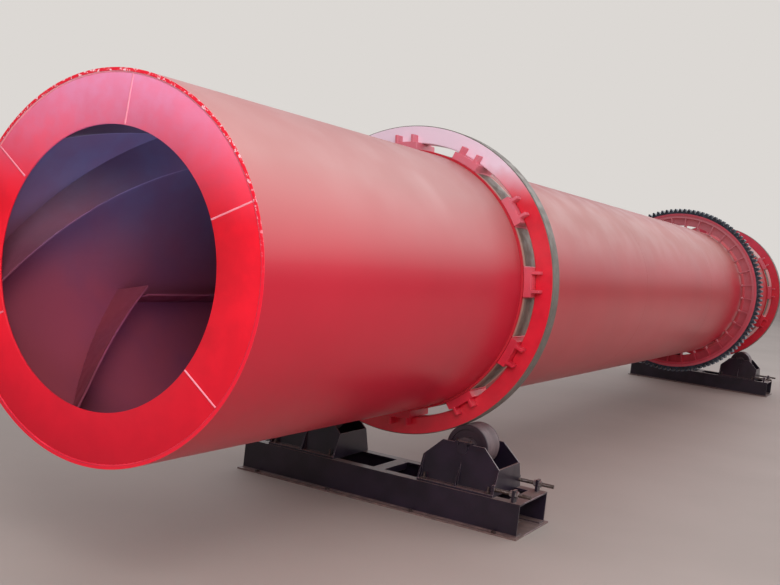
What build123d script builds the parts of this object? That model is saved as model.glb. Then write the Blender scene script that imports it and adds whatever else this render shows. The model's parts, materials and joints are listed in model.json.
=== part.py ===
"""Rotary drum dryer on two roller stations, in millimetres.

The drum lies along X with its feed end at -X, the floor is z = 0 and the origin lies
under the middle of the drum. The right-hand rollers are on the -Y side.
"""
from build123d import *
import os
from math import atan2, cos, degrees, pi, radians, sin, tan

os.makedirs("parts", exist_ok=True)

# Drum shell, rolled plate courses butt-welded end to end
shell_radius = 800
shell_plate = 14
shell_courses = 5

# Annular end plates, set into the shell's ends behind a fillet weld
end_plate_depth = 223
end_plate = 12
end_plate_inset = 6

# Riding rings (tyres) and the chairs that carry them on the shell, and where they stand
feed_overhang = 2708
tyre_spacing = 9754
discharge_overhang = 1388
tyre_stand_off = 60
tyre_thickness = 110
tyre_width = 114
wear_band_plate = 12
wear_band_width = 270
chairs_per_tyre = 12
chair_start_angle = -6
chair_length = 176
chair_overhang = 70
lug_height = 45
lug_root = 10
lug_plate = 18
lug_spacing = 110

# Ring gear, with straight-flanked teeth that bulge a little at the pitch circle
gear_module = 18
gear_stand_off = 226
gear_width = 130
gear_rim_depth = 48
gear_to_tyre = 2218
pressure_angle = 20
root_depth_in_modules = 1.25
tooth_bulge = 1.06
tooth_root_sink = 2

# Gear carrier: a rolled band under the rim, a web plate and gussets down to the shell
carrier_band_plate = 30
carrier_band_width = 110
carrier_web_plate = 14
carrier_web_depth = 92
carrier_gussets = 32
gusset_plate = 12
weld_overlap = 1

# Spiral feed flights behind the feed plate
spiral_flights = 5
spiral_plate = 8
spiral_depth = 205
spiral_reach = 930
spiral_lead = 4640
spiral_start_angle = 276
spiral_trim = 40

# Lifting flights: a first row of radial plates, one for each spiral flight and set back
# from its end, then staggered rows of lipped ones along the drum
flight_rows = 5
flights_per_row = 10
flight_set_back_angle = 6
flight_plate = 8
flight_depth = 202
flight_lip = 70
flight_lip_angle = 50
flight_start_gap = 1
flight_row_end_gap = 600
flight_row_gap = 40

# Trunnion rollers and their fixed axles
roller_radius = 135
roller_width = 196
roller_angle = 30
roller_chamfer = 3
roller_web_recess = 14
roller_rim_depth = 26
roller_hub_radius = 62
roller_hub_overhang = 30
axle_radius = 35
axle_overhang = 12
tyre_to_roller_offset = 34

# Roller boxes
axle_height = 237
box_plate = 12
box_base_plate = 14
box_base_half_width = 225
box_foot_half_width = 185
box_top_half_width = 157
box_length = 504
box_shoulder_height = 156
box_top_length = 276
box_top_above_axle = 30
box_rib_foot = 38
box_rib_plate = 10
push_ear_plate = 16
push_ear_width = 35
cap_length = 112
cap_width = 30
cap_plate = 10

# Station frames: channels with their webs outwards on base strips
channel_height = 190
channel_width = 75
channel_web = 8
channel_flange = 11
beam_past_box = 177
frame_half_width = 235
strip_plate = 10
strip_past_beam = 17
strip_overhang = 40
strip_width = 125
anchor_hole_radius = 9
anchor_from_edge = 18
anchor_from_strip_end = 149
anchor_inner_y = 300
cross_member_width = 80
cross_member_depth = 45
cross_member_plate = 10
end_tie_width = 100
end_tie_plate = 10

# Adjusting screws that push the roller boxes along the beams
screw_radius = 12
screw_height = 46
screw_past_beam = 48
screw_lug_inset = 46
screw_lug_plate = 16
screw_lug_width = 50
screw_lug_height = 72

# Clearances between pieces that sit on or in each other
seat_gap = 0.3
shaft_gap = 0.05

# Sizes that follow
shell_bore = shell_radius - shell_plate
tyre_bore = shell_radius + tyre_stand_off
tyre_radius = tyre_bore + tyre_thickness
frame_height = strip_plate + channel_height
roller_pitch_radius = tyre_radius + seat_gap + roller_radius
roller_y = roller_pitch_radius * sin(radians(roller_angle))
roller_z = frame_height + axle_height
drum_axis_z = roller_z + roller_pitch_radius * cos(radians(roller_angle))
drum_length = feed_overhang + tyre_spacing + discharge_overhang
feed_end_x = -drum_length / 2
discharge_end_x = drum_length / 2
tyre_x = {"feed": feed_end_x + feed_overhang, "discharge": discharge_end_x - discharge_overhang}
station_x = {name: x + tyre_to_roller_offset for name, x in tyre_x.items()}
side_sign = {"left": 1, "right": -1}
drum_axis = Axis((0, 0, drum_axis_z), (1, 0, 0))


def across_drum(x):
    """The plane square to the drum axis at x: local x is Y, local y is Z."""
    return Plane(origin=(x, 0, drum_axis_z), x_dir=(0, 1, 0), z_dir=(1, 0, 0))


def save(piece, name):
    """Label a finished piece and write it as the node called name."""
    piece.label = name
    export_step(piece, f"parts/{name}.step")


# Shell courses
course_length = drum_length / shell_courses
for course in range(shell_courses):
    with BuildPart() as shell_course:
        with BuildSketch(across_drum(feed_end_x + course * course_length)):
            Circle(shell_radius)
            Circle(shell_bore, mode=Mode.SUBTRACT)
        extrude(amount=course_length)
    save(shell_course.part, f"shell_course_{course + 1}")

# End plates with the feed and discharge openings
end_plate_x = {
    "feed": feed_end_x + end_plate_inset,
    "discharge": discharge_end_x - end_plate_inset - end_plate,
}
for end, x in end_plate_x.items():
    with BuildPart() as annular_plate:
        with BuildSketch(across_drum(x)):
            Circle(shell_bore - seat_gap)
            Circle(shell_radius - end_plate_depth, mode=Mode.SUBTRACT)
        extrude(amount=end_plate)
    save(annular_plate.part, f"{end}_end_plate")

# Spiral feed flights: radial plates swept along a helix, trimmed square at both ends
spiral_x = end_plate_x["feed"] + end_plate
spiral_mid_radius = shell_bore - seat_gap - spiral_depth / 2
spiral_run = feed_end_x + spiral_reach - spiral_x
with BuildPart() as spiral_flight:
    with BuildLine(Plane.XY) as helix_line:
        Helix(
            pitch=spiral_lead,
            height=spiral_run + 2 * spiral_trim,
            radius=spiral_mid_radius,
            center=(spiral_x - spiral_trim, 0, drum_axis_z),
            direction=(1, 0, 0),
        )
    helix_start = helix_line.line @ 0
    helix_radial = Vector(0, helix_start.Y, helix_start.Z - drum_axis_z).normalized()
    with BuildSketch(Plane(origin=helix_start, x_dir=helix_radial, z_dir=helix_line.line % 0)):
        Rectangle(spiral_depth, spiral_plate)
    sweep(path=helix_line.line, is_frenet=True)
    split(bisect_by=Plane.YZ.offset(spiral_x), keep=Keep.TOP)
    split(bisect_by=Plane.YZ.offset(spiral_x + spiral_run), keep=Keep.BOTTOM)
helix_start_angle = degrees(atan2(helix_radial.Z, helix_radial.Y))
angle_at_feed_plate = helix_start_angle + 360 * spiral_trim / spiral_lead
spiral_copies = [
    spiral_flight.part.rotate(
        drum_axis, spiral_start_angle - angle_at_feed_plate + 360 * turn / spiral_flights
    )
    for turn in range(spiral_flights)
]
save(Compound(children=spiral_copies), "feed_spiral_flights")

# Lifting flights: plates standing on the shell, the lipped rows turned half a pitch in turn
flight_row_start = spiral_reach + flight_start_gap
row_pitch = (drum_length - flight_row_start - flight_row_end_gap) / flight_rows
row_length = row_pitch - flight_row_gap
flight_outer = shell_bore - seat_gap
flight_inner = shell_bore - flight_depth
lip_reach = flight_lip * cos(radians(flight_lip_angle))
lip_rise = flight_lip * sin(radians(flight_lip_angle))
lip_bend = flight_plate * tan(radians(flight_lip_angle) / 2)
lip_edge_radius = flight_inner - lip_reach
lip_end_reach = flight_plate * sin(radians(flight_lip_angle))
lip_end_rise = flight_plate * cos(radians(flight_lip_angle))
spiral_end_angle = spiral_start_angle + 360 * flight_row_start / spiral_lead
flight_start_angle = spiral_end_angle - flight_set_back_angle
radial_outline = [
    (flight_outer, 0),
    (flight_inner, 0),
    (flight_inner, flight_plate),
    (flight_outer, flight_plate),
]
lipped_outline = [
    (flight_outer, 0),
    (flight_inner, 0),
    (lip_edge_radius, lip_rise),
    (lip_edge_radius + lip_end_reach, lip_rise + lip_end_rise),
    (flight_inner + lip_bend, flight_plate),
    (flight_outer, flight_plate),
]
for row in range(flight_rows):
    row_x = feed_end_x + flight_row_start + row * row_pitch
    stagger = 180 / flights_per_row * (row % 2)
    outline = lipped_outline if row else radial_outline
    count = flights_per_row if row else spiral_flights
    with BuildPart() as lifting_flights:
        with BuildSketch(across_drum(row_x)):
            with PolarLocations(0, count, flight_start_angle + stagger):
                Polygon(*outline, align=None)
        extrude(amount=row_length)
    save(lifting_flights.part, f"lifting_flights_row_{row + 1}")

# Tyres, wear bands and chairs
wear_band_radius = shell_radius + seat_gap + wear_band_plate
chair_inner = wear_band_radius + seat_gap
chair_outer = tyre_bore - seat_gap
chair_middle_radius = chair_outer - chair_length / 2
chair_half_width = tyre_width / 2 + chair_overhang
lug_x = tyre_width / 2 + seat_gap
lug_root_radius = chair_outer - lug_root
lug_top_radius = tyre_bore + lug_height
lug_middle_radius = (lug_root_radius + lug_top_radius) / 2
for end, x in tyre_x.items():
    with BuildPart() as tyre:
        with BuildSketch(across_drum(x - tyre_width / 2)):
            Circle(tyre_radius)
            Circle(tyre_bore, mode=Mode.SUBTRACT)
        extrude(amount=tyre_width)
    save(tyre.part, f"{end}_tyre")

    with BuildPart() as wear_band:
        with BuildSketch(across_drum(x - wear_band_width / 2)):
            Circle(wear_band_radius)
            Circle(shell_radius + seat_gap, mode=Mode.SUBTRACT)
        extrude(amount=wear_band_width)
    save(wear_band.part, f"{end}_wear_band")

    with BuildPart() as tyre_chairs:
        with BuildSketch(across_drum(x - chair_half_width)):
            with PolarLocations(chair_middle_radius, chairs_per_tyre, chair_start_angle):
                Rectangle(chair_length, chair_length)
            Circle(chair_outer, mode=Mode.INTERSECT)
            Circle(chair_inner, mode=Mode.SUBTRACT)
        extrude(amount=2 * chair_half_width)
        for face_x in (x - chair_half_width, x + lug_x):
            with BuildSketch(across_drum(face_x)):
                with PolarLocations(lug_middle_radius, chairs_per_tyre, chair_start_angle):
                    with GridLocations(0, lug_spacing, 1, 2):
                        Rectangle(lug_top_radius - lug_root_radius, lug_plate)
            extrude(amount=chair_half_width - lug_x)
    save(tyre_chairs.part, f"{end}_tyre_chairs")

# Ring gear; the count of teeth is the even number that stands nearest the stand-off
gear_x = tyre_x["discharge"] - gear_to_tyre
gear_teeth = 2 * round((shell_radius + gear_stand_off) / gear_module)
pitch_radius = gear_module * gear_teeth / 2
tip_radius = pitch_radius + gear_module
root_radius = pitch_radius - root_depth_in_modules * gear_module
gear_bore = root_radius - gear_rim_depth
pressure_slope = tan(radians(pressure_angle))
tooth_half_pitch = pi * gear_module / 4
tooth_half_root = tooth_half_pitch + (pitch_radius - root_radius) * pressure_slope
tooth_half_tip = tooth_half_pitch - gear_module * pressure_slope
tooth_half_mid = tooth_half_pitch * tooth_bulge
with BuildPart() as ring_gear:
    with BuildSketch(across_drum(gear_x - gear_width / 2)):
        Circle(root_radius)
        with PolarLocations(0, gear_teeth):
            Polygon(
                (root_radius - tooth_root_sink, -tooth_half_root),
                (pitch_radius, -tooth_half_mid),
                (tip_radius, -tooth_half_tip),
                (tip_radius, tooth_half_tip),
                (pitch_radius, tooth_half_mid),
                (root_radius - tooth_root_sink, tooth_half_root),
                align=None,
            )
        Circle(gear_bore, mode=Mode.SUBTRACT)
    extrude(amount=gear_width)
save(ring_gear.part, "ring_gear")

# Gear carrier; the gussets and the web run a little way into the band, as one welded piece
band_outer = gear_bore - seat_gap
band_inner = band_outer - carrier_band_plate
web_inner = band_inner - carrier_web_depth
gusset_foot_radius = shell_radius + seat_gap
gusset_top_radius = band_inner + weld_overlap
with BuildPart() as gear_carrier:
    with BuildSketch(across_drum(gear_x - carrier_band_width / 2)):
        Circle(band_outer)
        Circle(band_inner, mode=Mode.SUBTRACT)
        with PolarLocations((gusset_foot_radius + gusset_top_radius) / 2, carrier_gussets):
            Rectangle(gusset_top_radius - gusset_foot_radius, gusset_plate)
    extrude(amount=carrier_band_width)
    with BuildSketch(across_drum(gear_x - carrier_web_plate / 2)):
        Circle(band_inner + weld_overlap)
        Circle(web_inner, mode=Mode.SUBTRACT)
    extrude(amount=carrier_web_plate)
save(gear_carrier.part, "gear_carrier")

# Rollers, each a rim and a longer hub with a recessed web, turning on a fixed axle
hub_half_length = roller_width / 2 + roller_hub_overhang
for end, x in station_x.items():
    for side, sign in side_sign.items():
        axle_plane = Plane(
            origin=(x, sign * roller_y, roller_z), x_dir=(0, 1, 0), z_dir=(1, 0, 0)
        )
        with BuildPart() as roller:
            with BuildSketch(axle_plane):
                Circle(roller_radius)
            extrude(amount=roller_width / 2, both=True)
            chamfer(roller.edges().filter_by(GeomType.CIRCLE), length=roller_chamfer)
            for face_x in (-roller_width / 2, roller_width / 2 - roller_web_recess):
                with BuildSketch(axle_plane.offset(face_x)):
                    Circle(roller_radius - roller_rim_depth)
                extrude(amount=roller_web_recess, mode=Mode.SUBTRACT)
            with BuildSketch(axle_plane):
                Circle(roller_hub_radius)
            extrude(amount=hub_half_length, both=True)
            with BuildSketch(axle_plane):
                Circle(axle_radius + shaft_gap)
            extrude(amount=hub_half_length, both=True, mode=Mode.SUBTRACT)
        save(roller.part, f"{end}_{side}_roller")

# Roller boxes: two leaning side plates with ribs, end plates, base plate and push ears
box_foot_z = frame_height + box_base_plate
box_top_z = roller_z + box_top_above_axle
box_shoulder_z = frame_height + box_shoulder_height
lean = (box_foot_half_width - box_top_half_width) / (box_top_z - box_foot_z)
shoulder_half_width = box_foot_half_width - lean * (box_shoulder_z - box_foot_z)
rib_half_span = (box_length - box_rib_plate) / 2
screw_x = frame_half_width - channel_width / 2
for end, x in station_x.items():
    for side, sign in side_sign.items():
        middle_y = sign * roller_y
        lengthwise = Plane(origin=(x, middle_y, 0), x_dir=(1, 0, 0), z_dir=(0, -1, 0))
        crosswise = Plane(origin=(x, middle_y, 0), x_dir=(0, 1, 0), z_dir=(1, 0, 0))
        with BuildPart() as roller_box:
            with BuildSketch(lengthwise):
                for plate_side in (-1, 1):
                    Polygon(
                        (plate_side * box_foot_half_width, box_foot_z),
                        (plate_side * box_top_half_width, box_top_z),
                        (plate_side * (box_top_half_width - box_plate), box_top_z),
                        (plate_side * (box_foot_half_width - box_plate), box_foot_z),
                        align=None,
                    )
            extrude(amount=box_length / 2, both=True)
            with BuildSketch(crosswise):
                Polygon(
                    (-box_length / 2, box_foot_z),
                    (-box_length / 2, box_shoulder_z),
                    (-box_top_length / 2, box_top_z),
                    (box_top_length / 2, box_top_z),
                    (box_length / 2, box_shoulder_z),
                    (box_length / 2, box_foot_z),
                    align=None,
                )
                with Locations((0, (roller_z + box_top_z) / 2)):
                    Rectangle(
                        2 * (axle_radius + shaft_gap), box_top_above_axle, mode=Mode.SUBTRACT
                    )
                with Locations((0, roller_z)):
                    Circle(axle_radius + shaft_gap, mode=Mode.SUBTRACT)
            extrude(amount=box_foot_half_width, both=True, mode=Mode.INTERSECT)
            for edge_y in (box_plate - box_length / 2, box_length / 2):
                with BuildSketch(lengthwise.offset(-edge_y)):
                    Polygon(
                        (-box_foot_half_width + box_plate, box_foot_z),
                        (-shoulder_half_width + box_plate, box_shoulder_z),
                        (shoulder_half_width - box_plate, box_shoulder_z),
                        (box_foot_half_width - box_plate, box_foot_z),
                        align=None,
                    )
                extrude(amount=box_plate)
            for rib_y in (-rib_half_span, 0, rib_half_span):
                with BuildSketch(lengthwise.offset(rib_y)):
                    for rib_side in (-1, 1):
                        Polygon(
                            (rib_side * box_foot_half_width, box_foot_z),
                            (rib_side * (box_foot_half_width + box_rib_foot), box_foot_z),
                            (rib_side * shoulder_half_width, box_shoulder_z),
                            align=None,
                        )
                extrude(amount=box_rib_plate / 2, both=True)
            with BuildSketch(Plane(origin=(x, middle_y, frame_height))):
                Rectangle(2 * box_base_half_width, box_length)
            extrude(amount=box_base_plate)
            ear_y = sign * (box_length - push_ear_plate) / 2
            with BuildSketch(Plane(origin=(x, middle_y + ear_y, box_foot_z))):
                with GridLocations(2 * screw_x, 0, 2, 1):
                    Rectangle(push_ear_width, push_ear_plate)
            extrude(amount=screw_lug_height - box_base_plate)
        save(roller_box.part, f"{end}_{side}_roller_box")

# Roller axles held down in their notches by caps on the side plates
axle_half_length = box_top_half_width + axle_overhang
for end, x in station_x.items():
    with BuildPart() as roller_axles:
        with BuildSketch(Plane(origin=(x, 0, roller_z), x_dir=(0, 1, 0), z_dir=(1, 0, 0))):
            with GridLocations(2 * roller_y, 0, 2, 1):
                Circle(axle_radius)
        extrude(amount=axle_half_length, both=True)
        with BuildSketch(Plane(origin=(x, 0, box_top_z))):
            with GridLocations(2 * box_top_half_width - box_plate, 2 * roller_y, 2, 2):
                Rectangle(cap_width, cap_length)
        extrude(amount=cap_plate)
    save(roller_axles.part, f"{end}_roller_axles")

# Station frames
beam_length = 2 * (roller_y + box_length / 2 + beam_past_box)
strip_length = beam_length + 2 * strip_past_beam
anchor_outer_y = strip_length / 2 - anchor_from_strip_end
screw_lug_y = beam_length / 2 - screw_lug_inset
tie_half_length = frame_half_width - channel_width
floor_plate_half_length = frame_half_width + strip_overhang - strip_width
beam_sides = {"near": -1, "far": 1}
for end, x in station_x.items():
    profile = Plane(origin=(x, 0, 0), x_dir=(1, 0, 0), z_dir=(0, -1, 0))
    for beam_side, sign in beam_sides.items():
        web_out = sign * frame_half_width
        web_in = sign * (frame_half_width - channel_web)
        flange_tip = sign * (frame_half_width - channel_width)
        strip_x = x + sign * (frame_half_width + strip_overhang - strip_width / 2)
        anchor_x = x + sign * (frame_half_width + strip_overhang - anchor_from_edge)
        with BuildPart() as beam:
            with BuildSketch(profile):
                Polygon(
                    (web_out, strip_plate),
                    (flange_tip, strip_plate),
                    (flange_tip, strip_plate + channel_flange),
                    (web_in, strip_plate + channel_flange),
                    (web_in, frame_height - channel_flange),
                    (flange_tip, frame_height - channel_flange),
                    (flange_tip, frame_height),
                    (web_out, frame_height),
                    align=None,
                )
            extrude(amount=beam_length / 2, both=True)
            with BuildSketch(Plane.XY):
                with Locations((strip_x, 0)):
                    Rectangle(strip_width, strip_length)
                for row_y in (anchor_inner_y, anchor_outer_y):
                    with Locations((anchor_x, -row_y), (anchor_x, row_y)):
                        Circle(anchor_hole_radius, mode=Mode.SUBTRACT)
            extrude(amount=strip_plate)
            for lug_face in (-screw_lug_y, screw_lug_y - screw_lug_plate):
                with BuildSketch(profile.offset(lug_face)):
                    with Locations((sign * screw_x, frame_height + screw_lug_height / 2)):
                        Rectangle(screw_lug_width, screw_lug_height)
                    with Locations((sign * screw_x, frame_height + screw_height)):
                        Circle(screw_radius + shaft_gap, mode=Mode.SUBTRACT)
                extrude(amount=screw_lug_plate)
        save(beam.part, f"{end}_{beam_side}_beam")

    across_frame = Plane(origin=(x, 0, frame_height), x_dir=(0, 1, 0), z_dir=(1, 0, 0))
    with BuildPart() as cross_member:
        with BuildSketch(across_frame):
            with Locations((0, -cross_member_depth / 2)):
                Rectangle(cross_member_width, cross_member_depth)
            with Locations((0, -(cross_member_plate + cross_member_depth) / 2)):
                Rectangle(
                    cross_member_width - 2 * cross_member_plate,
                    cross_member_depth - cross_member_plate,
                    mode=Mode.SUBTRACT,
                )
        extrude(amount=tie_half_length, both=True)
    save(cross_member.part, f"{end}_cross_member")

    with BuildPart() as end_ties:
        with BuildSketch(Plane(origin=(x, 0, frame_height))):
            with GridLocations(0, beam_length - end_tie_width, 1, 2):
                Rectangle(2 * tie_half_length, end_tie_width)
        extrude(amount=-end_tie_plate)
        with BuildSketch(Plane(origin=(x, 0, 0))):
            with GridLocations(0, strip_length - strip_width, 1, 2):
                Rectangle(2 * floor_plate_half_length, strip_width)
        extrude(amount=strip_plate)
    save(end_ties.part, f"{end}_end_ties")

# Adjusting screws, from the roller boxes out past the ends of the beams
screw_start = roller_y + box_length / 2
screw_length = beam_past_box + screw_past_beam
for end, x in station_x.items():
    with BuildPart() as adjusting_screws:
        for sign in side_sign.values():
            screw_plane = Plane(
                origin=(x, sign * screw_start, frame_height + screw_height),
                x_dir=(1, 0, 0),
                z_dir=(0, sign, 0),
            )
            with BuildSketch(screw_plane):
                with GridLocations(2 * screw_x, 0, 2, 1):
                    Circle(screw_radius)
            extrude(amount=screw_length)
    save(adjusting_screws.part, f"{end}_adjusting_screws")
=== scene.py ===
"""Looks of a rotary drum dryer: finishes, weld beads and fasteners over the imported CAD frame.

Lengths are metres in the CAD's own frame: +X along the drum from its feed end, +Z up.
"""
import json
import logging
import math
from dataclasses import dataclass
from enum import Enum
from itertools import product
from typing import Any, Sequence

import bmesh
import bpy
from mathutils import Matrix, Vector


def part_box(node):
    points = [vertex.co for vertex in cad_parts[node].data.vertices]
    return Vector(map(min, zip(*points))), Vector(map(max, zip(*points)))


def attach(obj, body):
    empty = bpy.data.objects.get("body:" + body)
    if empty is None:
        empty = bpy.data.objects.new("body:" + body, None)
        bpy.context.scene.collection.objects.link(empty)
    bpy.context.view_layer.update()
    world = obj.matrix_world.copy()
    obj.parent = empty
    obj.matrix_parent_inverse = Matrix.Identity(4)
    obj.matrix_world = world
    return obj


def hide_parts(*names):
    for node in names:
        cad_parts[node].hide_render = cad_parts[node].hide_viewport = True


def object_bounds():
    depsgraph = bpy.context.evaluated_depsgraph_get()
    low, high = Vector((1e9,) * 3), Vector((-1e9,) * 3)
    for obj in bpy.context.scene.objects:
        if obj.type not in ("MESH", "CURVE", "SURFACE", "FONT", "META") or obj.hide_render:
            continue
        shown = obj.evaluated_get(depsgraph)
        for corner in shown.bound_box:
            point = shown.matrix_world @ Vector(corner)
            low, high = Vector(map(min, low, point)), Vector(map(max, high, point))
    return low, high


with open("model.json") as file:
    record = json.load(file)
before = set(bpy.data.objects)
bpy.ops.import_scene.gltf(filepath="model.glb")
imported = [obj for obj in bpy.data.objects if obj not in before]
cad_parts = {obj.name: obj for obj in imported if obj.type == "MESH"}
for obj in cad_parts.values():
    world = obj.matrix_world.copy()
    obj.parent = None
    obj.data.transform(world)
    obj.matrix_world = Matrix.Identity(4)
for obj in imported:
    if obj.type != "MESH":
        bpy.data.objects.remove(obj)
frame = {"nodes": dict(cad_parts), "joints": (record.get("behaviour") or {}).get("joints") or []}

log = logging.getLogger("rotary_dryer")
Colour = tuple[float, float, float, float]
Point = tuple[float, float, float]
Pair = tuple[float, float]
Material = bpy.types.Material
Socket = bpy.types.NodeSocket
Tree = bpy.types.NodeTree


def middle_x(node: str) -> float:
    """The middle of a CAD node along the drum."""
    return sum(corner[0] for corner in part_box(node)) / 2


CAD_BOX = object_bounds()
JOINTS = {joint["name"]: joint["pos_m"] for joint in frame["joints"]}
AXIS_Z = JOINTS["drum_spin"][2]
ROLLER_Y, ROLLER_Z = JOINTS["feed_left_roller_spin"][1:]
FEED_X = CAD_BOX[0][0]
DRUM_ENDS_X = [CAD_BOX[0][0], CAD_BOX[1][0]]
GEAR_X = middle_x("ring_gear")
ENDS = ("feed", "discharge")
RINGS_X = [middle_x(f"{end}_tyre") for end in ENDS]
ROLLERS_X = [JOINTS[f"{end}_left_roller_spin"][0] for end in ENDS]

EVEN: Point = (1, 1, 1)
LENGTHWISE: Point = (0.25, 1, 1)
CLOUD_DETAIL = 4.0
CLOUD_HOLLOW, CLOUD_PEAK = 0.32, 0.68
STEEL_METAL = 0.35
PAINT_IOR = 1.5
COAT_ROUGH = 0.15
UPRIGHT = Vector((0, 0, 1))
BEAD_CORNERS = 5
BEAD_STEP, RING_BEAD_STEP = 0.009, 0.011
STRAIGHT_RIPPLE, RING_RIPPLE, RIPPLE_BEAT = 0.12, 0.18, 1.7
RING_ANGLE, BOLT_ANGLE, PLATE_ANGLE, WELD_ANGLE = 30, 35, 60, 80
SAME_PLACE = 1e-5
FLAT_ANGLE, CORNER_ANGLE = math.radians(0.4), math.radians(40)


def linear(srgb: str) -> Colour:
    """Turn an sRGB hex colour to linear light.

    Args:
        srgb: The colour as "#rrggbb".

    Returns:
        Red, green and blue, linear, and a full alpha.
    """
    parts = [int(srgb[at:at + 2], 16) / 255 for at in (1, 3, 5)]
    red, green, blue = (p / 12.92 if p <= 0.04045 else ((p + 0.055) / 1.055) ** 2.4 for p in parts)
    return red, green, blue, 1.0


def per_metre(size_mm: float) -> float:
    """Texture scale at which one cell of a pattern is size_mm across."""
    return 1000 / size_mm


def add_node(
    tree: Tree,
    kind: str,
    settings: dict[str, Any] | None = None,
    inputs: dict[int | str, Any] | None = None,
) -> bpy.types.NodeOutputs:
    """Add one node with its settings and its links.

    Args:
        tree: The node tree that gets the node.
        kind: The node's type, without the word ShaderNode.
        settings: Attributes of the node itself.
        inputs: A value or an output socket for each named or numbered input.

    Returns:
        The new node's outputs.
    """
    node = tree.nodes.new(f"ShaderNode{kind}")
    for name, value in (settings or {}).items():
        setattr(node, name, value)
    for key, value in (inputs or {}).items():
        if isinstance(value, Socket):
            tree.links.new(value, node.inputs[key])
        else:
            node.inputs[key].default_value = value
    return node.outputs


def spoke(angle: float) -> Vector:
    """The direction away from the drum's axis at an angle in radians."""
    return Vector((0, math.cos(angle), math.sin(angle)))


def round_way(angle: float) -> Vector:
    """The direction round the drum at an angle in radians."""
    return Vector((0, -math.sin(angle), math.cos(angle)))


def along_x(distance: float) -> Vector:
    """A step along the drum."""
    return Vector((distance, 0, 0))


def on_axis(x: float = 0.0) -> Vector:
    """A point of the drum's axis."""
    return Vector((x, 0, AXIS_Z))


def add_object(name: str, data: bpy.types.ID) -> bpy.types.Object:
    """Put an object into the scene.

    Args:
        name: The object's name.
        data: Its mesh, lamp or camera.

    Returns:
        The new object.
    """
    made = bpy.data.objects.new(name, data)
    bpy.context.scene.collection.objects.link(made)
    return made


class End(Enum):
    """The two ends of the drum; the value is the way an end looks along X."""

    FEED = -1
    DISCHARGE = 1

    @property
    def label(self) -> str:
        """The end's name in the CAD's node names."""
        return self.name.lower()


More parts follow.
